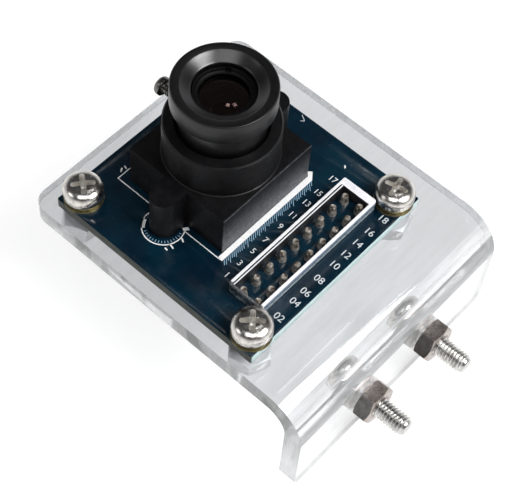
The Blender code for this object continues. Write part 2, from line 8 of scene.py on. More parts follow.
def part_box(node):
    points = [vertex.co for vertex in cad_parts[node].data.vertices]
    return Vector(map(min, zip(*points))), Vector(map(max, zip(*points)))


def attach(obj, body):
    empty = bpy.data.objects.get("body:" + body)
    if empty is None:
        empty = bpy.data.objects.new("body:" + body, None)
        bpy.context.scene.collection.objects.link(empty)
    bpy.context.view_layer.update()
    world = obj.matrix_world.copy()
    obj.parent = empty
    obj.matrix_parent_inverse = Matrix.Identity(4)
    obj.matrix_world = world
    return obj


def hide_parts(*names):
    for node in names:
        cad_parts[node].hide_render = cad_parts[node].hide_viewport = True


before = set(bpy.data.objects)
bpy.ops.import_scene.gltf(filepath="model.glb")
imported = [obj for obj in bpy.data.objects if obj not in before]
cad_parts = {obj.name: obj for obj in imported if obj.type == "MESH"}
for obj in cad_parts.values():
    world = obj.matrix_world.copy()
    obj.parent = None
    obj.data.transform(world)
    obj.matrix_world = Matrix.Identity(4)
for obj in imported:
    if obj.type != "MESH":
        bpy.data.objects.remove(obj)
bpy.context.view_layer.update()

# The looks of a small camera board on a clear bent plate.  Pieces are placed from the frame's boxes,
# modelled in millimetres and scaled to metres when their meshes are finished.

MM = 0.001
FIXED = "bracket_and_board"


def corners(node):
    """A CAD node's lowest and highest corner, in millimetres."""
    low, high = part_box(node)
    return low / MM, high / MM


def middle(node):
    """The middle of a CAD node's box."""
    low, high = corners(node)
    return (low + high) / 2


def round_size(node):
    """The radius of a round node with a vertical axis, and its lowest and highest Z."""
    low, high = corners(node)
    return (high.x - low.x) / 2, low.z, high.z


# -------- places read from the frame

sheet_low, sheet_high = corners("acrylic_bracket")
board_low, board_high = corners("camera_board")
barrel_low, barrel_high = corners("lens_barrel")
holder_low = corners("lens_holder")[0]
wall_low, wall_high = corners("header_frame")
housing_low, housing_high = corners("header_housing")

SHEET = 2.8
PLATE_TOP = sheet_high.z
BEND_OUTER = 6.2
PLATE_CORNER = 2.4
LEG_CORNER = 1.2
BOARD_TOP = board_high.z
BOARD_X, BOARD_Y = middle("camera_board").xy
BOARD_MIDDLE = Vector((BOARD_X, BOARD_Y, BOARD_TOP))
LENS_X, LENS_Y = middle("lens_barrel").xy
SCREW_X = [middle("mount_screw_1").x, middle("mount_screw_2").x]
BOARD_SCREWS = [middle(f"board_screw_{number}") for number in range(1, 5)]
LUGS = [middle(f"holder_screw_{number}") for number in (1, 2)]
PINS = [middle(f"header_pin_{number:02d}") for number in range(1, 19)]
BLOCK_TOP = BOARD_TOP + 7.1
PITCH = 2.54
M3_HOLE = 1.65
M3_LENGTH = 10.0


# -------- mesh helpers

def finish_mesh(bm, name, materials, sharp=35.0):
    """Turn a bmesh in millimetres into a mesh in metres with its faces pointing out."""
    bmesh.ops.recalc_face_normals(bm, faces=bm.faces)
    bmesh.ops.scale(bm, vec=(MM, MM, MM), verts=bm.verts)
    mesh = bpy.data.meshes.new(name)
    bm.to_mesh(mesh)
    bm.free()
    for material in materials:
        mesh.materials.append(material)
    mesh.shade_smooth()
    mesh.set_sharp_from_angle(angle=math.radians(sharp))
    return mesh


def linked(name, data):
    """A new object in the scene."""
    thing = bpy.data.objects.new(name, data)
    bpy.context.scene.collection.objects.link(thing)
    return thing


def add(name, mesh, nodes=(), body=FIXED, at=(0, 0, 0), turn=(0, 0, 0)):
    """Place a piece, say what it stands for, and let it ride on its body."""
    piece = linked(name, mesh)
    piece.location = Vector(at) * MM
    piece.rotation_euler = [math.radians(angle) for angle in turn]
    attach(piece, body)
    if nodes:
        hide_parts(*nodes)


def skin(bm, rows, loop=False, ends=False):
    """Faces between closed rows of vertices, of which some may be a single point."""
    for one, other in zip(rows, rows[1:] + rows[:1] if loop else rows[1:]):
        for step in range(max(len(one), len(other))):
            around = [one[step % len(one)], one[(step + 1) % len(one)],
                      other[(step + 1) % len(other)], other[step % len(other)]]
            bm.faces.new(list(dict.fromkeys(around)))
    if ends:
        bm.faces.new(rows[0])
        bm.faces.new(rows[-1])
    return bm


def lathe(rings, sides, loop=False, bm=None):
    """A round body through (radius, height) rings.  Either may be a function of the angle."""
    bm = bm or bmesh.new()
    rows = []
    for radius, height in rings:
        row = []
        for step in range(1 if radius == 0 else sides):
            angle = math.tau * step / sides
            r = radius(angle) if callable(radius) else radius
            z = height(angle) if callable(height) else height
            row.append(bm.verts.new((r * math.cos(angle), r * math.sin(angle), z)))
        rows.append(row)
    return skin(bm, rows, loop)


def arc(x, y, radius, start, end, steps):
    """Points along an arc, with its angles in degrees."""
    points = []
    for step in range(steps + 1):
        angle = math.radians(start + (end - start) * step / steps)
        points.append((x + radius * math.cos(angle), y + radius * math.sin(angle)))
    return points


def rectangle(left, right, near, far, corner=0.0, steps=5):
    """A rectangle's outline, with round corners if corner is above 0."""
    if corner <= 0:
        return [(left, near), (right, near), (right, far), (left, far)]
    return (arc(right - corner, far - corner, corner, 0, 90, steps)
            + arc(left + corner, far - corner, corner, 90, 180, steps)
            + arc(left + corner, near + corner, corner, 180, 270, steps)
            + arc(right - corner, near + corner, corner, 270, 360, steps))


def slab(outline, low, high, bm=None, slot=0):
    """Extrude a flat outline of (x, y) points, as a closed body of its own in bm."""
    bm = bm or bmesh.new()
    bottom = [bm.verts.new((x, y, low)) for x, y in outline]
    top = [bm.verts.new((x, y, high)) for x, y in outline]
    faces = [bm.faces.new(bottom[::-1]), bm.faces.new(top)]
    for step in range(len(outline)):
        after = (step + 1) % len(outline)
        faces.append(bm.faces.new((bottom[step], bottom[after], top[after], top[step])))
    for face in faces:
        face.material_index = slot
    return bm


def hole(bm, x, y, radius, low, high, sides=48):
    """Add a round cutter to bm."""
    slab(arc(x, y, radius, 0, 360 - 360 / sides, sides - 1), low, high, bm)


def bar(one, other, width):
    """The outline of a straight strip of a given width between two points."""
    one, other = Vector(one), Vector(other)
    along = (other - one).normalized() * width / 2
    across = Vector((-along.y, along.x))
    return [tuple(one - across), tuple(other - across), tuple(other + across), tuple(one + across)]


def band(x, y, inner, outer, start, end, steps):
    """The outline of a part of a ring."""
    return arc(x, y, outer, start, end, steps) + arc(x, y, inner, end, start, steps)


def moved(bm, shift=(0, 0, 0), axis="Z", degrees=0.0):
    """Turn a bmesh about its origin and then shift it."""
    bmesh.ops.rotate(bm, verts=bm.verts, matrix=Matrix.Rotation(math.radians(degrees), 3, axis))
    bmesh.ops.translate(bm, vec=shift, verts=bm.verts)
    return bm


def paint(mesh, choose):
    """Give each face the material slot that choose(centre in millimetres, normal) returns."""
    for face in mesh.polygons:
        face.material_index = choose(face.center / MM, face.normal)


def bevelled(bm, width, steps, least_rise=0.0):
    """Bevel a body's sharp edges, or only those that rise enough."""
    picked = []
    for edge in bm.edges:
        rise = abs(edge.verts[0].co.z - edge.verts[1].co.z)
        if math.degrees(edge.calc_face_angle(0)) > 30 and rise >= least_rise:
            picked.append(edge)
    bmesh.ops.bevel(bm, geom=picked, offset=width, segments=steps, profile=0.5, affect="EDGES")


def carved(mesh, steps, name, bevel=0.0, sharp=35.0, bevel_angle=35.0):
    """Cut bmeshes from a mesh, or join those given as ("UNION", bmesh), then round its edges."""
    target = linked(name, mesh)
    guides = []
    for step in steps:
        operation, bm = step if isinstance(step, tuple) else ("DIFFERENCE", step)
        guide = linked("guide", finish_mesh(bm, "guide", []))
        guides.append(guide)
        modifier = target.modifiers.new("carve", "BOOLEAN")
        modifier.operation = operation
        modifier.solver = "EXACT"
        modifier.object = guide
    if bevel > 0:
        modifier = target.modifiers.new("edges", "BEVEL")
        modifier.width = bevel * MM
        modifier.segments = 2
        modifier.limit_method = "ANGLE"
        modifier.angle_limit = math.radians(bevel_angle)
    bpy.context.view_layer.update()
    seen = target.evaluated_get(bpy.context.evaluated_depsgraph_get())
    result = bpy.data.meshes.new_from_object(seen)
    for thing in [target, *guides]:
        bpy.data.objects.remove(thing, do_unlink=True)
    result.name = name
    result.shade_smooth()
    result.set_sharp_from_angle(angle=math.radians(sharp))
    return result


# -------- material helpers

class Nodes:
    """The node tree of a material or a world."""

    def __init__(self, owner):
        owner.use_nodes = True
        self.nodes, self.links = owner.node_tree.nodes, owner.node_tree.links

    def node(self, kind, values=(), **properties):
        made = self.nodes.new(kind)
        for key, value in properties.items():
            setattr(made, key, value)
        for socket, value in dict(values).items():
            if isinstance(value, bpy.types.NodeSocket):
                self.links.new(value, made.inputs[socket])
            else:
                made.inputs[socket].default_value = value
        return made

    def ramp(self, factor, stops):
        """Colours, or greys, at places from 0 to 1 along a factor."""
        made = self.node("ShaderNodeValToRGB", {"Fac": factor})
        elements = made.color_ramp.elements
        while len(elements) < len(stops):
            elements.new(0.5)
        for element, (where, colour) in zip(elements, stops):
            element.position = where
            if isinstance(colour, (int, float)):
                colour = (colour, colour, colour)
            element.color = (*colour, 1.0)
        return made.outputs["Color"]


class Look(Nodes):
    """A material round one Principled shader, with object coordinates in metres."""

    def __init__(self, name, colour, roughness, metallic=0.0, **sockets):
        self.material = bpy.data.materials.new(name)
        super().__init__(self.material)
        self.shader = self.nodes["Principled BSDF"]
        sockets.update(Base_Color=(*colour, 1.0), Roughness=roughness, Metallic=metallic)
        for socket, value in sockets.items():
            self.shader.inputs[socket.replace("_", " ")].default_value = value
        self.place = self.node("ShaderNodeTexCoord").outputs["Object"]

    def stretched(self, scale):
        """Object coordinates, stretched: a larger number makes a finer pattern that way."""
        return self.node("ShaderNodeMapping", {"Vector": self.place, "Scale": scale}).outputs[0]

    def noise(self, size, detail, where=None):
        """Cloudy noise whose features are about size millimetres wide."""
        made = self.node("ShaderNodeTexNoise", {"Vector": where or self.place, "Detail": detail,
                                                "Scale": 1.0 / (size * MM), "Roughness": 0.55})
        return made.outputs["Fac"]

    def cloud(self, size, detail, *stops):
        """Colours, or greys, at places along a noise."""
        return self.ramp(self.noise(size, detail), stops)

    def math(self, operation, one, other=0.0):
        return self.node("ShaderNodeMath", {0: one, 1: other}, operation=operation).outputs[0]

    def mix(self, factor, one, other):
        values = {0: factor}
        for index, value in ((6, one), (7, other)):
            values[index] = value if isinstance(value, bpy.types.NodeSocket) else (*value, 1.0)
        return self.node("ShaderNodeMix", values, data_type="RGBA").outputs[2]

    def along(self, axis, start, end):
        """0 before start and 1 after end, in millimetres along an axis, and smooth between them."""
        parts = self.node("ShaderNodeSeparateXYZ", {0: self.place})
        made = self.node("ShaderNodeMapRange", {"Value": parts.outputs[axis], "From Min": start * MM,
                                                "From Max": end * MM}, interpolation_type="SMOOTHSTEP")
        return made.outputs[0]

    def colour(self, socket):
        self.links.new(socket, self.shader.inputs["Base Color"])

    def rough(self, socket):
        self.links.new(socket, self.shader.inputs["Roughness"])

    def bump(self, height, depth):
        """Bumps from a height of 0 to 1 that stands for depth millimetres."""
        made = self.node("ShaderNodeBump", {"Height": height, "Distance": depth * MM, "Strength": 1.0})
        self.links.new(made.outputs[0], self.shader.inputs["Normal"])

    def lets_lamps_through(self, tint):
        """Let the lamps' rays pass, so that what lies behind clear plastic or glass is lit."""
        passing = self.node("ShaderNodeBsdfTransparent", {"Color": (*tint, 1.0)})
        path = self.node("ShaderNodeLightPath")
        mixed = self.node("ShaderNodeMixShader", {0: path.outputs["Is Shadow Ray"],
                                                  1: self.shader.outputs[0], 2: passing.outputs[0]})
        self.links.new(mixed.outputs[0], self.nodes["Material Output"].inputs["Surface"])


# -------- materials

LAMP_TINT = (0.86, 0.87, 0.88)     # the lamps' colour after they have passed the sheet


def acrylic(name, tint, clearness, streak=0.95):
    """Clear sheet, whose scratches and streaks run along X.  What isn't clear is white haze."""
    look = Look(name, tint, 0.02, IOR=1.49, Transmission_Weight=clearness)
    look.rough(look.cloud(6.0, 4.0, (0.35, 0.005), (0.75, 0.035)))
    streaks = look.noise(0.9, 3.0, look.stretched((0.12, 1.0, 1.0)))
    look.colour(look.ramp(streaks, [(0.38, [part * streak for part in tint]), (0.6, tint)]))
    scratches = look.noise(0.35, 2.0, look.stretched((0.25, 1.0, 1.0)))
    look.bump(scratches, 0.0012)
    look.lets_lamps_through(LAMP_TINT)
    return look.material


def acrylic_edge():
    """The sheet's cut edges: polished by the laser, with fine lines across the thickness."""
    look = Look("acrylic_cut_edge", (0.95, 0.955, 0.96), 0.12, IOR=1.49, Transmission_Weight=0.72)
    lines = look.noise(0.22, 2.0, look.stretched((1.0, 1.0, 0.12)))
    clear = look.ramp(lines, [(0.3, (0.70, 0.71, 0.72)), (0.6, (0.97, 0.975, 0.98))])
    # Painted reflection: dark patches on the clear cut edge.
    painted_reflection_patches = look.ramp(look.noise(3.4, 1.0, look.stretched((1.0, 1.0, 0.3))), [(0.4, 0.0), (0.47, 1.0)])
    look.colour(look.mix(painted_reflection_patches, (0.42, 0.44, 0.43), clear))
    look.rough(look.ramp(lines, [(0.3, 0.06), (0.7, 0.2)]))
    look.bump(lines, 0.006)
    look.lets_lamps_through(LAMP_TINT)
    return look.material


def solder_mask():
    """The board's glossy dark blue face, mottled where copper shows through."""
    look = Look("blue_solder_mask", (0.001, 0.012, 0.024), 0.2, IOR=1.5)
    cloud = look.cloud(7.0, 3.0, (0.3, (0.0008, 0.0075, 0.017)), (0.7, (0.001, 0.020, 0.036)))
    speckle = look.cloud(0.5, 3.0, (0.6, 0.0), (0.78, 0.3))
    look.colour(look.mix(speckle, cloud, (0.003, 0.035, 0.055)))
    look.rough(look.cloud(1.2, 5.0, (0.3, 0.12), (0.75, 0.3)))
    look.bump(look.noise(0.25, 4.0), 0.004)
    return look.material


def laminate_edge(name, dark, middle_shade, light):
    """The board's sawn edge: glass cloth in resin, with its layers showing."""
    look = Look(name, middle_shade, 0.55)
    layers = look.noise(0.12, 2.0, look.stretched((0.08, 0.08, 1.0)))
    look.colour(look.ramp(layers, [(0.3, dark), (0.55, middle_shade), (0.75, light)]))
    look.bump(look.noise(0.08, 3.0, look.stretched((0.3, 0.3, 1.0))), 0.02)
    return look.material


def print_ink(name, bright, tint):
    """Screen-printed ink, thinner and greyer in places."""
    look = Look(name, (bright, bright, bright), 0.5)
    dark, light = [bright * 0.86 * part for part in tint], [bright * part for part in tint]
    look.colour(look.cloud(0.3, 4.0, (0.3, dark), (0.6, light)))
    look.bump(look.noise(0.12, 3.0), 0.004)
    return look.material


def plated_steel(name, dark, light, rough, depth=0.004):
    """Nickel or zinc plate over steel, clouded and lightly pitted."""
    look = Look(name, light, 0.2, 1.0)
    look.colour(look.cloud(0.9, 5.0, (0.32, dark), (0.62, light)))
    look.rough(look.cloud(0.5, 4.0, (0.3, rough[0]), (0.7, rough[1])))
    look.bump(look.noise(0.35, 3.0), depth)
    return look.material


def moulded_black():
    """Fine-grained black plastic; on the block's front side a painted reflection pales it low down and a
    painted highlight lines its top edge.
    """
    look = Look("moulded_black_plastic", (0.003, 0.003, 0.0035), 0.42, IOR=1.5, Specular_IOR_Level=0.22)
    cloud = look.cloud(2.5, 4.0, (0.3, (0.0018, 0.0018, 0.0023)), (0.7, (0.0042, 0.0042, 0.005)))
    # Painted light on the block's front side: a painted reflection that grows paler towards the bottom, and a
    # painted highlight along the top edge.
    front = look.math("SUBTRACT", 1.0, look.along(1, LENS_Y - 8.38, LENS_Y - 8.2))
    lower = look.math("SUBTRACT", 1.0, look.along(2, BOARD_TOP, BLOCK_TOP))
    pale_reflection = look.cloud(0.35, 4.0, (0.3, (0.045, 0.046, 0.052)), (0.7, (0.15, 0.152, 0.165)))
    edge = look.math("MULTIPLY", look.along(2, BLOCK_TOP - 0.25, BLOCK_TOP - 0.1), 0.5)
    look.colour(look.mix(look.math("MULTIPLY", front, look.math("MAXIMUM", lower, edge)), cloud, pale_reflection))
    look.rough(look.cloud(0.8, 4.0, (0.3, 0.34), (0.7, 0.52)))
    look.bump(look.noise(0.09, 3.0), 0.006)
    return look.material


def anodised_black(name, rough, index):
    """Black anodised aluminium with the fine rings that a lathe leaves."""
    look = Look(name, (0.003, 0.003, 0.0035), 0.3, 0.0, IOR=index)
    x, y, z = look.node("ShaderNodeSeparateXYZ", {0: look.place}).outputs
    radius = look.math("SQRT", look.math("ADD", look.math("MULTIPLY", x, x), look.math("MULTIPLY", y, y)))
    rings = look.node("ShaderNodeTexNoise", {"W": look.math("ADD", radius, z), "Detail": 2.0,
                                             "Scale": 1.0 / (0.07 * MM)}, noise_dimensions="1D")
    look.colour(look.cloud(1.5, 4.0, (0.3, (0.0015, 0.0015, 0.002)), (0.7, (0.0042, 0.004, 0.0045))))
    look.rough(look.cloud(0.7, 4.0, (0.3, rough[0]), (0.7, rough[1])))
    look.bump(rings.outputs["Fac"], 0.0022)
    return look.material


def coated_glass(name, tint):
    """Glass whose coating makes its reflections reddish."""
    look = Look(name, tint, 0.01, IOR=1.6, Transmission_Weight=1.0, Specular_Tint=(1.0, 0.66, 0.6, 1.0))
    look.rough(look.cloud(1.0, 4.0, (0.4, 0.0), (0.8, 0.02)))
    look.lets_lamps_through(tint)
    return look.material


def white_wall(name, transmission):
    """Milky plastic, with painted bluish shade halfway down its sides and paler again at the foot."""
    look = Look(name, (0.88, 0.88, 0.9), 0.28, IOR=1.5, Transmission_Weight=transmission)
    cloud = look.cloud(1.4, 3.0, (0.3, (0.80, 0.80, 0.83)), (0.7, (0.93, 0.93, 0.95)))
    # Painted shade: below the top, the sides are darkened to a bluish grey and lighten again near the foot.
    upper = look.along(2, wall_high.z - 0.55, wall_high.z - 0.25)
    foot = look.math("SUBTRACT", 1.0, look.along(2, wall_low.z + 0.35, wall_low.z + 0.6))
    sides = look.mix(foot, (0.16, 0.21, 0.27), (0.6, 0.66, 0.7))
    look.colour(look.mix(upper, sides, cloud))
    look.rough(look.cloud(0.6, 3.0, (0.3, 0.2), (0.7, 0.36)))
    look.bump(look.noise(0.2, 3.0), 0.004)
    return look.material


def solder():
    """Tin, from dull brown to bright in patches."""
    look = Look("tin_solder", (0.5, 0.47, 0.43), 0.3, 0.65)
    look.colour(look.cloud(0.6, 3.0, (0.36, (0.10, 0.075, 0.06)), (0.5, (0.45, 0.41, 0.36)),
                           (0.68, (0.85, 0.82, 0.75))))
    look.rough(look.cloud(0.4, 4.0, (0.3, 0.22), (0.7, 0.5)))
    look.bump(look.noise(0.3, 4.0), 0.03)
    return look.material


def plain(name, dark, light, rough, size=0.5, depth=0.006, metallic=0.0, specular=0.5):
    """A matt or satin surface whose colour drifts between two shades."""
    look = Look(name, light, rough, metallic, Specular_IOR_Level=specular)
    look.colour(look.cloud(size, 4.0, (0.3, dark), (0.7, light)))
    look.rough(look.cloud(size * 0.7, 3.0, (0.3, rough * 0.8), (0.7, rough * 1.25)))
    look.bump(look.noise(size * 0.3, 3.0), depth)
    return look.material


# Painted shade: the plate's copy of the sheet is tinted grey for the shaded floor seen through it; the bend
# and the leg are paler copies of the same sheet.
ACRYLIC = acrylic("acrylic_plate_shaded", (0.645, 0.655, 0.67), 1.0)
ACRYLIC_BEND = acrylic("acrylic_bend", (0.84, 0.85, 0.86), 0.8, 0.8)
ACRYLIC_LEG = acrylic("acrylic_leg", (0.88, 0.885, 0.89), 0.92, 0.88)
ACRYLIC_EDGE = acrylic_edge()
MASK = solder_mask()
# Painted light: a lit copy of the board's edge for the ±Y sides and a shaded copy for the ±X sides.
PAINTED_LIT_EDGE = laminate_edge("laminate_edge_painted_lit", (0.35, 0.5, 0.5), (0.55, 0.68, 0.68), (0.75, 0.85, 0.85))
PAINTED_SHADED_EDGE = laminate_edge("laminate_edge_painted_shade", (0.02, 0.025, 0.02), (0.05, 0.058, 0.045), (0.1, 0.115, 0.09))
INK = print_ink("white_print", 0.92, (1.0, 1.0, 1.0))
# Painted reflection: faint bluish streaks, drawn like print.
STREAK_REFLECTION_PAINT = print_ink("painted_reflection_streaks", 0.55, (0.45, 0.75, 1.0))
WORN_INK = print_ink("worn_print", 0.72, (0.92, 0.97, 1.0))
NICKEL = plated_steel("nickel_plate", (0.50, 0.47, 0.43), (0.76, 0.735, 0.70), (0.16, 0.28), 0.0025)
NUT_STEEL = plated_steel("nut_plate", (0.37, 0.315, 0.29), (0.46, 0.41, 0.38), (0.24, 0.32), 0.0012)
# Painted shade: a darker copy of the nut plating for the facets that face away from the light.
SHADED_FACET = plated_steel("nut_facet_painted_shade", (0.08, 0.076, 0.075), (0.17, 0.163, 0.155), (0.26, 0.36),
                          0.0012)
RECESS_STEEL = plated_steel("recess_plate", (0.46, 0.44, 0.41), (0.8, 0.78, 0.74), (0.42, 0.52))
THREAD_STEEL = plated_steel("thread_plate", (0.40, 0.39, 0.37), (0.70, 0.69, 0.67), (0.16, 0.3))
DULL_STEEL = plated_steel("dull_plate", (0.10, 0.096, 0.093), (0.26, 0.25, 0.24), (0.2, 0.34))
BRASSY = plated_steel("washer_plate", (0.20, 0.185, 0.14), (0.44, 0.415, 0.34), (0.24, 0.4))
BLACK = moulded_black()
ANODISED = anodised_black("anodised_black", (0.27, 0.31), 1.62)
SATIN = anodised_black("satin_black", (0.34, 0.4), 1.45)
# Painted shade: the front glass is greyed and the inner glass and filter are tinted nearly black, so the lens
# reads dark inside.
GLASS = coated_glass("coated_front_glass", (0.5, 0.44, 0.46))
INNER_GLASS = coated_glass("coated_inner_glass", (0.03, 0.017, 0.017))
FILTER = coated_glass("infrared_filter_glass", (0.03, 0.012, 0.014))
MILKY, CLEAR_WALL = white_wall("milky_white_plastic", 0.0), white_wall("clear_wall_end", 0.9)
SOLDER = solder()
GOLD = plain("gilded_pad", (0.16, 0.14, 0.075), (0.40, 0.36, 0.21), 0.35, 0.4, 0.004, 1.0)
SILICON = plain("ceramic_package", (0.05, 0.05, 0.06), (0.11, 0.11, 0.13), 0.4)
CERAMIC = plain("brown_ceramic", (0.20, 0.14, 0.09), (0.33, 0.25, 0.17), 0.5)
BLACKENED = plain("blackened_metal", (0.001, 0.001, 0.0012), (0.003, 0.0028, 0.003), 0.5, depth=0.003,
                  specular=0.12)
# Painted light: the nuts under the plate are pale grey and not metal, standing for the light that washes them
# out through the plate.
PALE_NUT = plain("pale_nut_painted_light", (0.7, 0.7, 0.7), (0.82, 0.82, 0.82), 0.5, 0.5, 0.004, 0.3)
CHIP = plain("chip_moulding", (0.010, 0.010, 0.012), (0.022, 0.022, 0.024), 0.6, 0.3, 0.012)
HOUSING = plain("header_moulding", (0.008, 0.008, 0.009), (0.018, 0.018, 0.020), 0.45, 0.5, 0.008)


# -------- the clear bracket

def bracket_section():
    """The bent sheet's section as (y, z) points."""
    inner, steps = BEND_OUTER - SHEET, 28
    y, z = BEND_OUTER, PLATE_TOP - BEND_OUTER
    outside = arc(y, z, BEND_OUTER, 180, 90, steps)
    inside = arc(y, z, inner, 90, 180, steps)
    return ([(SHEET, sheet_low.z), (0.0, sheet_low.z)] + outside
            + [(sheet_high.y, PLATE_TOP), (sheet_high.y, PLATE_TOP - SHEET)] + inside)


def make_bracket():
    """The bent sheet, with its bores, a slot under the header and a window under the lens."""
    bm = slab(bracket_section(), sheet_low.x, sheet_high.x)
    upright = Matrix(((0, 0, 1), (1, 0, 0), (0, 1, 0)))
    bmesh.ops.transform(bm, matrix=upright.to_4x4(), verts=bm.verts)
    plate_corners, leg_corners = [], []
    for edge in bm.edges:
        one, other = edge.verts[0].co, edge.verts[1].co
        if abs(one.z - other.z) > SHEET * 0.9 and min(one.y, other.y) > sheet_high.y - 0.1:
            plate_corners.append(edge)
        if abs(one.y - other.y) > SHEET * 0.9 and max(one.z, other.z) < sheet_low.z + 0.1:
            leg_corners.append(edge)
    bmesh.ops.bevel(bm, geom=plate_corners, offset=PLATE_CORNER, segments=10, profile=0.5, affect="EDGES")
    leg_corners = [edge for edge in leg_corners if edge.is_valid]
    bmesh.ops.bevel(bm, geom=leg_corners, offset=LEG_CORNER, segments=6, profile=0.5, affect="EDGES")
    below, above, play = PLATE_TOP - SHEET - 1, PLATE_TOP + 1, 0.2
    cutters = bmesh.new()
    for place in BOARD_SCREWS:
        hole(cutters, place.x, place.y, M3_HOLE, below, above)
    slab(rectangle(housing_low.x - play, housing_high.x + play, housing_low.y - play,
                   housing_high.y + play, 0.9), below, above, cutters)
    half_width, near, far = 13.0, 8.5, 7.5
    slab(rectangle(LENS_X - half_width, LENS_X + half_width, LENS_Y - near, LENS_Y + far, 1.5),
         below, above, cutters)
    holes = bmesh.new()
    for x in SCREW_X:
        hole(holes, x, 0, M3_HOLE, -1, SHEET + 1)
    moved(holes, axis="X", degrees=-90)
    mesh = finish_mesh(bm, "sheet", [ACRYLIC, ACRYLIC_EDGE, ACRYLIC_BEND, ACRYLIC_LEG])
    mesh = carved(mesh, [cutters, holes], "clear_sheet", 0.12, 22.0, 40.0)

    # Faces on the plate get the grey-tinted copy, which is painted shade.
    def clearness(centre, normal):
        on_leg = centre.z < PLATE_TOP - BEND_OUTER
        in_bend = centre.y < BEND_OUTER and centre.z > PLATE_TOP - BEND_OUTER
        through = abs(normal.y) if on_leg else abs(normal.z)
        if abs(normal.x) > 0.9 if in_bend else through < 0.5:
            return 1
        return 3 if on_leg else 2 if in_bend and centre.y < SHEET else 0

    paint(mesh, clearness)
    add("clear_bent_sheet", mesh, ["acrylic_bracket"])


# -------- the board and its print

PRINT = 0.025     # how far the print stands on the board


def make_board():
    """The board, with bores for the screws, the pins and the lens block's two screws."""
    outline = rectangle(board_low.x, board_high.x, board_low.y, board_high.y, 0.25, 3)
    bm = slab(outline, board_low.z, board_high.z)
    cutters = bmesh.new()
    for places, radius, sides in ((BOARD_SCREWS, M3_HOLE, 48), (PINS, 0.5, 12), (LUGS, 0.95, 24)):
        for place in places:
            hole(cutters, place.x, place.y, radius, board_low.z - 1, BOARD_TOP + 1, sides)
    mesh = finish_mesh(bm, "board", [MASK, PAINTED_LIT_EDGE, PAINTED_SHADED_EDGE])
    mesh = carved(mesh, [cutters], "board", 0.05)
    # The ±Y edges get the painted lit copy, the ±X edges the painted shaded copy.
    paint(mesh, lambda _, normal: 0 if abs(normal.z) > 0.6 else 2 if abs(normal.x) > 0.6 else 1)
    add("blue_board", mesh, ["camera_board"])


def make_pads():
    """Thin plated rings round the screw holes, with sloping edges."""
    inner, outer, low, high = M3_HOLE + 0.02, 2.75, BOARD_TOP - 0.02, BOARD_TOP + PRINT * 0.8
    rings = []
    for place in BOARD_SCREWS:
        ring = lathe([(inner, low), (outer + 0.03, low), (outer, high), (inner + 0.03, high)], 40, True)
        rings.append(moved(ring, (place.x, place.y, 0)))
    add("board_pads", finish_mesh(joined(rings), "board_pads", [GOLD]))


def numerals(text, x, y, size, turn):
    """A number as a flat solid bmesh in millimetres, centred on a point."""
    curve = bpy.data.curves.new("numeral", "FONT")
    curve.body = text
    curve.size = size
    curve.extrude = PRINT / 2
    curve.offset = -0.004
    curve.resolution_u = 3
    curve.align_x, curve.align_y = "CENTER", "CENTER"
    thing = linked("numeral", curve)
    bpy.context.view_layer.update()
    mesh = bpy.data.meshes.new_from_object(thing.evaluated_get(bpy.context.evaluated_depsgraph_get()))
    bm = bmesh.new()
    bm.from_mesh(mesh)
    bmesh.ops.remove_doubles(bm, verts=bm.verts, dist=0.002)
    moved(bm, (x, y, BOARD_TOP + PRINT / 2), "Z", turn)
    bpy.data.objects.remove(thing, do_unlink=True)
    bpy.data.curves.remove(curve)
    bpy.data.meshes.remove(mesh)
    return bm


def joined(pieces):
    """Put several bmeshes in one, each still a separate closed body."""
    whole = bmesh.new()
    for piece in pieces:
        mesh = bpy.data.meshes.new("step")
        piece.to_mesh(mesh)
        piece.free()
        whole.from_mesh(mesh)
        bpy.data.meshes.remove(mesh)
    return whole


def dash(bm, x, y, length, turn, width):
    """A short printed stroke, placed from the board's centre."""
    half = Vector((math.cos(math.radians(turn)), math.sin(math.radians(turn)))) * length / 2
    centre = Vector((BOARD_X + x, BOARD_Y + y))
    slab(bar(centre - half, centre + half, width), BOARD_TOP - 0.01, BOARD_TOP + PRINT, bm)


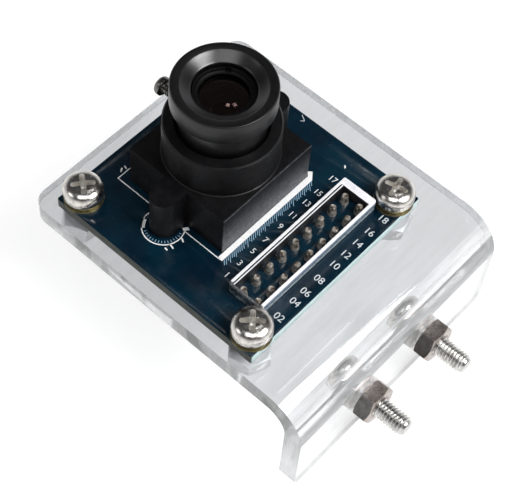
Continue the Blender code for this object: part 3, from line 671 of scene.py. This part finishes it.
def make_print():
    """The white outline round the lens holder, the pin numbers, and a few small marks."""
    low, high = BOARD_TOP - 0.01, BOARD_TOP + PRINT
    left, right = LENS_X - 9.5, LENS_X + 9.5
    far, near = LENS_Y + 9.85, LENS_Y - 8.5
    lug_x = LUGS[0].x - 0.1
    ink = bmesh.new()
    round_lug = 2.9
    reach = math.degrees(math.acos((left - lug_x) / round_lug))
    cross = round_lug * math.sin(math.radians(reach))
    for one, other in (((left, far), (left, LENS_Y + cross + 0.5)),
                       ((left, LENS_Y - cross), (left, near - 0.4)),
                       ((right, far), (right, near + 1.2)), ((left, far), (right, far))):
        slab(bar(one, other, 0.14), low, high, ink)
    slab(band(lug_x, LENS_Y, 2.83, 2.98, reach + 12, 360 - reach, 40), low, high, ink)
    slab(band(lug_x, LENS_Y, 2.45, 2.98, 108, 138, 10), low, high, ink)
    # the heavy band on the header's side, with its right end cut at a slant
    slab([(left, near - 0.75), (right - 0.9, near - 0.75), (right + 0.25, near + 0.15),
          (right - 0.2, near + 0.75), (right - 0.75, near + 0.1), (left, near + 0.02)], low, high, ink)
    slab(bar((left + 0.05, LENS_Y - cross + 0.35), (left + 0.75, LENS_Y - cross - 0.1), 0.5), low, high, ink)
    for x, y, length, turn in ((-11.9, 1.3, 0.9, 75), (-12.7, 1.5, 0.5, 80), (-10.2, 0.9, 0.7, 60),
                               (-7.7, 14.7, 0.7, 30), (-7.0, 14.6, 0.6, 75), (14.0, -6.8, 0.5, 40)):
        dash(ink, x, y, length, turn, 0.2)
    worn = bmesh.new()
    dash(worn, 16.4, 2.9, 1.0, 60, 0.1)
    dash(worn, 15.9, 2.6, 0.6, 130, 0.1)
    inner_row = (-10.1, -7.6, -5.0, -2.6, 0.4, 2.9, 5.7, 8.1, 11.2)
    outer_row = (-10.2, -7.1, -5.0, -2.3, 0.8, 3.1, 5.5, 8.0, 10.9)
    bright, faded = [ink], [worn]
    for column, (inner, outer) in enumerate(zip(inner_row, outer_row)):
        bright.append(numerals(f"{2 * column + 1}", BOARD_X + inner, BOARD_Y - 6.95, 1.3, -90))
        faded.append(numerals(f"{2 * column + 2:02d}", BOARD_X + outer, BOARD_Y - 16.1, 1.5, -90))
    add("board_print", finish_mesh(joined(bright), "board_print", [INK]))
    add("board_worn_print", finish_mesh(joined(faded), "board_worn_print", [WORN_INK]))

    # Painted reflection: faint bluish streaks on the board below the heavy band and round the left lug.
    faint = bmesh.new()
    for step in range(47):
        start = Vector((left + 0.4 + step * 0.38, near - 0.78))
        length = 0.6 + 0.45 * abs(math.sin(step * 1.7)) + 0.3 * (step % 3 == 0)
        slab(bar(start, start + Vector((-0.7, -0.72)) * length, 0.1), low, high - 0.008, faint)
    for step in range(15):
        angle = math.radians(150 + step * 9.8)
        way = Vector((math.cos(angle), math.sin(angle)))
        centre = Vector((lug_x, LENS_Y))
        slab(bar(centre + way * 2.3, centre + way * 2.66, 0.09), low, high - 0.008, faint)
    add("board_painted_reflection_streaks", finish_mesh(faint, "board_painted_reflection_streaks", [STREAK_REFLECTION_PAINT]))


# -------- fasteners

def thread_rings(crest, depth, pitch, low, high, steps=6):
    """Rings of a right-hand thread that runs out at both ends."""
    rings, runout = [], pitch * 0.6
    count = max(2, round((high - low) / pitch * steps))
    for row in range(count + 1):
        height = low + (high - low) * row / count
        share = min(1.0, (height - low) / runout, (high - height) / runout)

        def radius(angle, height=height, share=share):
            turn = (height / pitch - angle / math.tau) % 1.0
            ridge = min(1.0, 1.25 * (1.0 - abs(2.0 * turn - 1.0)))
            return crest - depth * (1.0 - ridge * max(0.0, share))

        rings.append((radius, height))
    return rings


RIM_SHARE = 0.42      # how much of a pan head's height its straight rim takes
FLATNESS = 0.55       # the lower, the flatter the head's crown


def head_rings(radius, height):
    """A pan head from its rim, at height 0, up to its crown."""
    rim, steps = height * RIM_SHARE, 9
    rings = [(radius * 0.93, 0.0), (radius * 0.985, height * 0.05), (radius, height * 0.12), (radius, rim)]
    for step in range(1, steps):
        angle = math.pi / 2 * step / steps
        rings.append((radius * math.cos(angle) ** FLATNESS, rim + (height - rim) * math.sin(angle)))
    return rings + [(0, height)]


def head_surface(radius, height, at):
    """The height of a pan head's crown at a distance from its axis."""
    across = min(1.0, at / radius) ** (1 / FLATNESS)
    return height * (RIM_SHARE + (1 - RIM_SHARE) * math.sqrt(1 - across * across))


def recess_steps(reach, width, top, depth):
    """Cutters for a cross recess: two tapered wings with round ends, and a pit in the middle."""
    steps = []
    for turn in (0, 90):
        wing = slab(arc(reach - width, 0, width, -90, 90, 6) + arc(width - reach, 0, width, 90, 270, 6),
                    top - depth, top + 0.6)
        for vert in wing.verts:
            if vert.co.z < top:
                vert.co.x *= 0.62
                vert.co.y *= 0.6
        steps.append(moved(wing, degrees=turn))
    pit = lathe([(0, top - depth * 1.15), (width * 0.9, top - depth * 0.9), (width * 1.6, top + 0.3),
                 (0, top + 0.3)], 12)
    return steps + [moved(pit, degrees=45)]


def screw(name, length, crest, depth, pitch, head, materials, smooth_neck=0.5, tip=0.35):
    """A cross-recessed pan head screw whose head sits on height 0 with its thread below it.

    head is its radius, its height, and the recess's reach, half width and depth.
    """
    head_radius, head_height, reach, width, recess_depth = head
    rings = [(0, -length), (crest - depth - tip * 0.6, -length), (crest - depth * 0.9, -length + tip)]
    rings += thread_rings(crest, depth, pitch, -length + tip + 0.02, -smooth_neck)
    rings += [(crest - depth * 0.4, -smooth_neck + 0.05), (crest - depth * 0.4, 0.0)]
    rings += head_rings(head_radius, head_height)
    mesh = finish_mesh(lathe(rings, 48), name, materials, 50)
    paint(mesh, lambda centre, _: 1 if centre.z < -0.01 else 0)
    mesh = carved(mesh, recess_steps(reach, width, head_height, recess_depth), name, 0.04, 40.0, 38.0)
    for face in mesh.polygons:
        centre = face.center / MM
        crown = head_surface(head_radius, head_height, centre.xy.length)
        if RIM_SHARE * head_height < centre.z < crown - 0.1:
            face.material_index = 2
    return mesh


def washer():
    """A split spring washer with square ends that stand a little apart."""
    outer, low, high = round_size("board_washer_1")
    inner, thick, cut = 1.58, high - low, 0.12
    steps, gap, lean = 72, math.radians(9), math.radians(9)
    bm = bmesh.new()
    section = [(inner, cut), (inner + cut, 0), (outer - cut, 0), (outer, cut),
               (outer, thick - cut), (outer - cut, thick), (inner + cut, thick), (inner, thick - cut)]
    rows = []
    for step in range(steps + 1):
        row = []
        for radius, height in section:
            angle = gap / 2 + (math.tau - gap) * step / steps + lean * height / thick
            row.append(bm.verts.new((radius * math.cos(angle), radius * math.sin(angle), height)))
        rows.append(row)
    skin(bm, rows, ends=True)
    return finish_mesh(bm, "split_washer", [BRASSY], 30)


def nut(name, materials):
    """A hexagon nut with chamfered corners, from height 0 down, with two corners on X."""
    flats, height, bore = 5.5, 2.4, 1.53
    chamfer = flats / 2 * 0.97
    slope = math.tan(math.radians(30))

    def hexagon(angle):
        return flats / 2 / math.cos(math.remainder(angle - math.pi / 6, math.pi / 3))

    def drop(angle):
        return max(0.03, (hexagon(angle) - chamfer) * slope)

    rings = [(bore, -0.35), (bore + 0.3, 0.0), (chamfer, 0.0), (hexagon, lambda angle: -drop(angle)),
             (hexagon, lambda angle: drop(angle) - height), (chamfer, -height), (bore + 0.3, -height),
             (bore, 0.35 - height)]
    mesh = finish_mesh(lathe(rings, 72, True), name, materials, 24)
    if len(materials) > 1:
        # Facets that face one way get the painted shade copy.
        paint(mesh, lambda _, normal: 1 if normal.x * 0.87 + normal.y * 0.5 < -0.9 else 0)
    return mesh


def make_fasteners():
    """The board's four screws, washers and nuts, and the leg's two screws and nuts."""
    head = (2.8, 2.3, 2.0, 0.42, 1.2)
    m3 = screw("m3_screw", M3_LENGTH, 1.47, 0.27, 0.5, head, [NICKEL, THREAD_STEEL, RECESS_STEEL])
    ring = washer()
    pale_nut, leg_nut = nut("pale_nut", [PALE_NUT]), nut("leg_nut", [NUT_STEEL, SHADED_FACET])
    for number, spin in enumerate((40, 12, 70, 52), 1):
        x, y = BOARD_SCREWS[number - 1].xy
        screw_node, washer_node, nut_node = (f"board_{kind}_{number}" for kind in ("screw", "washer", "nut"))
        add(f"pan_head_screw_{number}", m3, [screw_node],
            at=(x, y, corners(screw_node)[0].z + M3_LENGTH), turn=(0, 0, spin))
        add(f"spring_washer_{number}", ring, [washer_node],
            at=(x, y, corners(washer_node)[0].z), turn=(0, 0, 3 * spin))
        add(f"hex_nut_{number}", pale_nut, [nut_node],
            at=(x, y, corners(nut_node)[1].z), turn=(0, 0, spin))
    for number, x in enumerate(SCREW_X, 1):
        screw_node, nut_node = f"mount_screw_{number}", f"mount_nut_{number}"
        add(f"leg_screw_{number}", m3, [screw_node],
            at=(x, corners(screw_node)[0].y + M3_LENGTH, 0), turn=(-90, 30 * number, 0))
        add(f"leg_nut_{number}", leg_nut, [nut_node],
            at=(x, corners(nut_node)[1].y, 0), turn=(-90, 0, 0))


# -------- lens holder

def holder_outline():
    """The block with a half-round lug on its left and right sides, seen from above."""
    width, length, lug = 8.55, 8.4, 1.93
    reach = LUGS[1].x - LENS_X
    outline = []
    for side in (1, -1):
        x = LENS_X + side * width
        outline += [(x, LENS_Y - side * length), (x, LENS_Y - side * lug)]
        for px, py in arc(0, 0, lug, -90, 90, 28):
            outline.append((LENS_X + side * (reach + px), LENS_Y + side * py))
        outline += [(x, LENS_Y + side * lug), (x, LENS_Y + side * length)]
    return outline


def make_holder():
    """The moulded block and collar that hold the lens, in one piece."""
    bm = slab(holder_outline(), holder_low.z, BLOCK_TOP)
    bevelled(bm, 0.3, 3, 1.0)
    radius, height, chamfer, foot_radius, foot_rise = 7.9, 5.85, 0.22, 8.04, 0.14
    bore_radius, wide, floor, crest, sides = 3.4, 6.05, -3.5, 6.3, 112
    collar = lathe([(0, -1.0), (radius, -1.0), (radius, height - chamfer), (radius - chamfer, height),
                    (0, height)], sides)
    foot = lathe([(0, -1.0), (foot_radius, -1.0), (foot_radius, 0.0), (radius - 0.05, foot_rise),
                  (0, foot_rise)], sides)
    bore = lathe([(0, -4.8), (bore_radius, -4.8), (bore_radius, floor), (wide, floor)]
                 + thread_rings(crest, 0.25, 0.5, floor + 0.1, 5.2, 3)
                 + [(wide, 5.3), (crest + 0.05, 5.9), (crest + 0.05, 7), (0, 7)], sides)
    room = rectangle(LENS_X - 6.75, LENS_X + 6.75, LENS_Y - 6.6, LENS_Y + 6.6)
    chamber = slab(room, BOARD_TOP - 1, BOARD_TOP + 2.8)
    pilots = bmesh.new()
    for place in LUGS:
        hole(pilots, place.x, place.y, 0.85, BOARD_TOP - 1, BOARD_TOP + 5.2, 24)
    lock = slab(arc(0, 0, 0.85, 7, 352, 23), 4.0, 9.0)
    moved(lock, (LENS_X, LENS_Y, middle("lens_lock_screw").z), "X", -90)
    for part in (foot, collar, bore):
        moved(part, (LENS_X, LENS_Y, BLOCK_TOP))
    steps = [chamber, pilots, ("UNION", foot), ("UNION", collar), lock, bore]
    mesh = carved(finish_mesh(bm, "holder", [BLACK]), steps, "holder", 0.13, 30.0, 50.0)
    add("moulded_lens_holder", mesh, ["lens_holder"])


def make_holder_screws():
    """The tapping screws that hold the block from below."""
    head = (1.6, 1.0, 0.95, 0.25, 0.6)
    mesh = screw("tapping_screw", 6.2, 0.8, 0.22, 0.6, head, [NICKEL, NICKEL, RECESS_STEEL], 0.3, 0.8)
    for number, place in enumerate(LUGS, 1):
        node = f"holder_screw_{number}"
        add(f"tapping_screw_{number}", mesh, [node],
            at=(place.x, place.y, corners(node)[0].z + head[1]), turn=(180, 0, 25 * number))


def make_lock_screw():
    """The small screw in the collar's far side, which clamps the lens."""
    low, high = corners("lens_lock_screw")
    head = (1.35, 1.15, 0.85, 0.22, 0.6)
    head_seat = high.y - head[1]
    mesh = screw("clamp_screw", head_seat - low.y, 0.78, 0.15, 0.35, head,
                 [DULL_STEEL, DULL_STEEL, RECESS_STEEL], 0.2, 0.3)
    centre = middle("lens_lock_screw")
    add("lens_clamp_screw", mesh, ["lens_lock_screw"], "lock_screw",
        at=(centre.x, head_seat, centre.z), turn=(-90, 20, 0))


# -------- lens

def add_ring(name, mesh, node, base=0):
    """Place one of the black pieces that turn with the lens."""
    add(name, mesh, [node], "lens_barrel", at=(LENS_X, LENS_Y, base))


def make_barrel():
    """The lens barrel: M12 thread below, a smooth grip above and a stepped bore."""
    bottom, flange = 5.2, 16.9
    base = barrel_low.z - bottom
    top, grip = barrel_high.z - base, (barrel_high.x - barrel_low.x) / 2
    outside = [(5.45, bottom), (5.7, bottom + 0.15)]
    outside += thread_rings(5.98, 0.2, 0.5, bottom + 0.2, flange - 4.9, 5)
    outside += [(5.8, flange - 4.8), (5.95, flange - 4.6), (5.95, flange - 0.1), (grip - 0.14, flange),
                (grip - 0.04, flange + 0.05), (grip, flange + 0.14), (grip, flange + 1.4), (grip, top - 0.22),
                (grip - 0.06, top - 0.08), (grip - 0.17, top)]
    cone = [(5.78, top)]
    for step in range(9):
        share = step / 8
        cone.append((5.68 - 1.4 * share, top - 0.05 - 0.85 * share ** 0.9))
    inside = [(4.2, 19.1), (4.2, 18.4), (4.2, 17.0), (3.3, 17.0), (3.3, 13.0), (3.3, 8.9), (4.2, 8.9),
              (4.2, 6.0)]
    bm = lathe(outside + cone + inside, 112, True)
    mesh = finish_mesh(bm, "lens_barrel_detail", [ANODISED, BLACKENED, SATIN], 32)
    paint(mesh, lambda centre, _: 1 if centre.xy.length < 4.25 else 2 if centre.xy.length > 6.0 else 0)
    add_ring("threaded_lens_barrel", mesh, "lens_barrel", base)


def make_rings():
    """The retaining rings, with two spanner slots in the front one, and the aperture stop."""
    outer, low, high = round_size("front_retaining_ring")
    bm = lathe([(3.3, low + 0.25), (outer, low), (outer, high - 0.1), (outer - 0.1, high - 0.02),
                (3.95, high - 0.05), (3.9, high - 0.12), (3.72, high - 0.12), (3.68, high - 0.3),
                (3.5, high - 0.42), (3.3, high - 0.45)], 96, True)
    slots = bmesh.new()
    for side in (-3.75, 3.75):
        slab(rectangle(side - 0.25, side + 0.25, -0.4, 0.4), high - 0.5, high + 1, slots)
    mesh = carved(finish_mesh(bm, "ring", [BLACKENED]), [moved(slots, degrees=35)], "slotted_ring")
    add_ring("slotted_front_ring", mesh, "front_retaining_ring")
    outer, low, high = round_size("aperture_stop")
    steps = [(1.2, high - 0.2)]
    for step in range(4):
        radius = 1.5 + step * (outer - 1.6) / 4
        steps += [(radius, high - 0.16), (radius + 0.05, high - 0.02)]
    steps += [(outer, high), (outer, low), (1.3, low + 0.2)]
    mesh = finish_mesh(lathe(steps, 64, True), "stop", [BLACKENED])
    add_ring("stepped_aperture_stop", mesh, "aperture_stop")
    outer, low, high = round_size("rear_retaining_ring")
    rear = lathe([(3.4, low + 0.08), (3.5, low), (outer - 0.08, low), (outer, low + 0.08), (outer, high),
                  (3.4, high)], 64, True)
    add_ring("rear_ring", finish_mesh(rear, "rear_ring", [ANODISED]), "rear_retaining_ring")


def dome(radius, rim, rise):
    """(radius, height) points over a spherical cap, from its rim to its middle."""
    ball = (radius * radius + rise * rise) / (2 * rise)
    points, steps = [], 12
    for step in range(steps):
        r = radius * (1 - step / steps)
        points.append((r, rim + math.sqrt(ball * ball - r * r) - (ball - rise)))
    return points + [(0, rim + rise)]


def make_glass():
    """Three elements, each domed on top and gently hollowed beneath."""
    for node, name, edge, hollow, look in (("front_element", "front_meniscus", 0.55, 0.3, GLASS),
                                           ("middle_element", "middle_meniscus", 0.6, 0.25, INNER_GLASS),
                                           ("rear_element", "rear_meniscus", 0.6, 0.25, INNER_GLASS)):
        radius, low, high = round_size(node)
        beneath = dome(radius * 0.9, low, hollow)[::-1]
        above = dome(radius, low + edge, high - low - edge)
        rings = beneath + [(radius - 0.04, low), (radius, low + 0.04)] + above
        mesh = finish_mesh(lathe(rings, 64), name, [look], 40)
        add(name, mesh, [node], "lens_glass", at=(LENS_X, LENS_Y, 0))


# -------- pin header

def make_pins():
    """Square pins soldered through the board, each with a hollow-sided solder cone on top."""
    low, high = corners("header_pin_01")
    half, tip = 0.32, 0.35
    bm = bmesh.new()
    rows = []
    for size, height in ((half * 0.45, low.z), (half, low.z + tip), (half, high.z - 0.15),
                         (half * 0.6, high.z)):
        rows.append([bm.verts.new((size * x, size * y, height))
                     for x, y in ((-1, -1), (1, -1), (1, 1), (-1, 1))])
    skin(bm, rows, ends=True)
    rise = 1.25
    cone = [(0, BOARD_TOP - 0.02), (0.7, BOARD_TOP - 0.02)]
    for step in range(9):
        share = step / 8
        cone.append((0.5 + 0.17 * (1 - share) ** 2.0, BOARD_TOP - 0.01 + rise * share))
    for radius, above in ((0.45, 0.16), (0.32, 0.28), (0.16, 0.26), (0, 0.2)):
        cone.append((radius, BOARD_TOP + rise + above))
    lathe(cone, 24, False, bm)
    mesh = finish_mesh(bm, "soldered_pin", [SOLDER], 40)
    for number, place in enumerate(PINS, 1):
        add(f"soldered_pin_{number:02d}", mesh, [f"header_pin_{number:02d}"],
            at=(place.x, place.y, 0), turn=(0, 0, 90 * (number % 4)))


def make_header():
    """The moulded strip that holds the pins, notched between them."""
    left, right, near, far = housing_low.x, housing_high.x, housing_low.y, housing_high.y
    notch, play = 0.45, 0.36
    edge = []
    for column in range(round((right - left) / PITCH)):
        x = left + column * PITCH
        edge += [(x, notch), (x + notch, 0), (x + PITCH - notch, 0)]
    edge.append((right, notch))
    near_side = [(x, near + y) for x, y in edge]
    far_side = [(x, far - y) for x, y in reversed(edge)]
    outline = near_side[1:] + far_side + near_side[:1]
    holes = bmesh.new()
    for place in PINS:
        slab(rectangle(place.x - play, place.x + play, place.y - play, place.y + play),
             housing_low.z - 1, housing_high.z + 1, holes)
    strip = finish_mesh(slab(outline, housing_low.z, housing_high.z), "strip", [HOUSING])
    add("notched_pin_strip", carved(strip, [holes], "strip", 0.07), ["header_housing"])


def make_wall():
    """The milky wall on top: painted dark inside as shade, with a thin rib along its far side whose sides are
    painted dark too, and a clear left end.
    """
    near_wall, far_wall, right_wall, thin = 0.36, 0.44, 1.2, 0.25
    left, right = wall_low.x + thin, wall_high.x - right_wall
    near, far = wall_low.y + near_wall, wall_high.y - far_wall
    outer = slab(rectangle(wall_low.x, wall_high.x, wall_low.y, wall_high.y, 0.3, 4), wall_low.z, wall_high.z)
    cut = slab(rectangle(left, right, near, far), wall_low.z - 1, wall_high.z + 1)
    mesh = finish_mesh(outer, "wall", [MILKY, HOUSING, CLEAR_WALL])
    mesh = carved(mesh, [cut], "wall", 0.06, 30.0)
    bm = bmesh.new()
    bm.from_mesh(mesh)
    clear_until = wall_low.x + 0.4
    everything = [*bm.verts, *bm.edges, *bm.faces]
    bmesh.ops.bisect_plane(bm, geom=everything, plane_co=(clear_until * MM, 0, 0), plane_no=(1, 0, 0))
    # Painted shade: the wall's inner side faces get the dark moulding.
    for face in bm.faces:
        centre = face.calc_center_median() / MM
        inside = left - 0.02 < centre.x < right + 0.02 and near - 0.02 < centre.y < far + 0.02
        shaded_inside = inside and abs(face.normal.z) < 0.5
        face.material_index = 2 if centre.x < clear_until else 1 if shaded_inside else 0
    ledge = rectangle(left + 0.02, right - 0.02, far - 0.34, far - 0.17)
    rib = slab(ledge, wall_low.z, wall_high.z - 0.05)
    rib.normal_update()
    # The rib's top is milky; its sides are painted dark as shade.
    for face in rib.faces:
        face.material_index = 0 if face.normal.z > 0.5 else 1
    bmesh.ops.scale(rib, vec=(MM, MM, MM), verts=rib.verts)
    whole = joined([bm, rib])
    whole.to_mesh(mesh)
    whole.free()
    mesh.set_sharp_from_angle(angle=math.radians(30))
    add("milky_header_wall", mesh, ["header_frame"])


# -------- parts on the back

def make_back_parts():
    """Two small regulators with five leads each, and chip capacitors with tinned ends."""
    for number in (1, 2):
        low, high = corners(f"voltage_regulator_{number}")
        centre = (low + high) / 2
        bm = slab(rectangle(low.x, high.x, low.y, high.y), low.z, high.z - 0.1)
        for vert in bm.verts:
            if vert.co.z < low.z + 0.01:
                vert.co.x = centre.x + (vert.co.x - centre.x) * 0.94
                vert.co.y = centre.y + (vert.co.y - centre.y) * 0.88
        bevelled(bm, 0.06, 2)
        for x, side in ((-0.95, -1), (0.0, -1), (0.95, -1), (-0.95, 1), (0.95, 1)):
            edge = centre.y + side * (high.y - low.y) / 2
            for reach, deep, shallow in ((0.62, 0.16, 0.01), (0.18, 0.6, 0.1)):
                ends = sorted((edge - side * 0.1, edge + side * reach))
                lead = rectangle(centre.x + x - 0.2, centre.x + x + 0.2, *ends)
                slab(lead, high.z - deep, high.z - shallow, bm, 1)
        add(f"regulator_{number}", finish_mesh(bm, "regulator", [CHIP, SOLDER]),
            [f"voltage_regulator_{number}"])
    for number in (1, 2, 3):
        low, high = corners(f"capacitor_{number}")
        bm = slab(rectangle(low.x + 0.35, high.x - 0.35, low.y + 0.03, high.y - 0.03), low.z + 0.03, high.z)
        for left, right in ((low.x, low.x + 0.4), (high.x - 0.4, high.x)):
            end = slab(rectangle(left, right, low.y, high.y), low.z, high.z - 0.001)
            bevelled(end, 0.07, 2)
            for face in end.faces:
                face.material_index = 1
            bm = joined([bm, end])
        add(f"chip_capacitor_{number}", finish_mesh(bm, "capacitor", [CERAMIC, SOLDER]),
            [f"capacitor_{number}"])


def dress_hidden_nodes():
    """The sealed inner pieces keep their CAD shapes and get materials of their own; the filter glass is
    tinted nearly black as painted shade.
    """
    for node, material in (("image_sensor", SILICON), ("sensor_cover_glass", FILTER),
                           ("infrared_filter", FILTER)):
        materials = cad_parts[node].data.materials
        materials.clear()
        materials.append(material)


# -------- floor, light and camera

def make_floor():
    """A wide pale slab under the leg, which gives light of its own."""
    size, height = 3000.0, sheet_low.z - 0.3
    bm = slab(rectangle(-size, size, -size, size), height - 5, height)
    look = Look("pale_floor", (0.3, 0.3, 0.3), 0.9, Specular_IOR_Level=0.1,
                Emission_Color=(1.0, 1.0, 1.0, 1.0), Emission_Strength=0.8)
    linked("floor", finish_mesh(bm, "floor", [look.material]))


def direction(azimuth, elevation):
    """Away from the board, from angles in degrees.  Azimuth 0 is at -Y."""
    a, e = math.radians(azimuth), math.radians(elevation)
    return Vector((math.sin(a) * math.cos(e), -math.cos(a) * math.cos(e), math.sin(e)))


def add_lamp(name, azimuth, elevation, distance, size, power):
    """A square soft light, aimed at the board."""
    lamp = bpy.data.lights.new(name, "AREA")
    lamp.shape, lamp.size, lamp.energy = "SQUARE", size, power
    thing = linked(name, lamp)
    back = direction(azimuth, elevation)
    thing.location = BOARD_MIDDLE * MM + back * distance
    thing.rotation_euler = (-back).to_track_quat("-Z", "Y").to_euler()


def make_lights():
    """A soft studio whose sky is pale at the horizon and dark overhead."""
    add_lamp("key", 20, 50, 0.6, 0.3, 3.8)
    add_lamp("top", -60, 68, 0.8, 0.4, 1.5)
    add_lamp("glint_1", 112, 72, 0.8, 0.06, 0.055)
    add_lamp("glint_2", 93, 66, 0.8, 0.07, 0.05)
    add_lamp("left_fill", -125, 38, 0.8, 0.3, 0.5)
    world = bpy.data.worlds.new("studio")
    sky = Nodes(world)
    way = sky.node("ShaderNodeTexCoord").outputs["Generated"]
    height = sky.node("ShaderNodeSeparateXYZ", {0: way}).outputs[2]
    shade = sky.ramp(height, [(0.2, (0.8, 0.81, 0.83)), (0.5, (0.06, 0.061, 0.063))])
    sky.links.new(shade, sky.nodes["Background"].inputs["Color"])
    bpy.context.scene.world = world


def make_camera():
    """A long lens close above the left front of the plate, tilted slightly."""
    azimuth, elevation, roll = -53.38, 56.93, math.radians(6.21)
    distance, focal_length = 197.22, 99.57
    side_shift, up_shift = 3.40, -7.06
    back = direction(azimuth, elevation)
    level = direction(azimuth + 90, 0)
    above = back.cross(level)
    right = level * math.cos(roll) + above * math.sin(roll)
    up = above * math.cos(roll) - level * math.sin(roll)
    place = BOARD_MIDDLE + right * side_shift + up * up_shift + back * distance
    data = bpy.data.cameras.new("camera")
    data.sensor_width = 36.0
    data.lens = focal_length
    data.clip_start, data.clip_end = 0.01, 10.0
    camera = linked("camera", data)
    turn = Matrix((right, up, back)).transposed()
    camera.matrix_world = Matrix.Translation(place * MM) @ turn.to_4x4()
    bpy.context.scene.camera = camera
    bpy.context.scene.view_settings.view_transform = "Standard"


make_camera()
make_floor()
make_lights()
make_bracket()
make_board()
make_pads()
make_print()
make_fasteners()
make_holder()
make_holder_screws()
make_lock_screw()
make_barrel()
make_rings()
make_glass()
make_pins()
make_header()
make_wall()
make_back_parts()
dress_hidden_nodes()
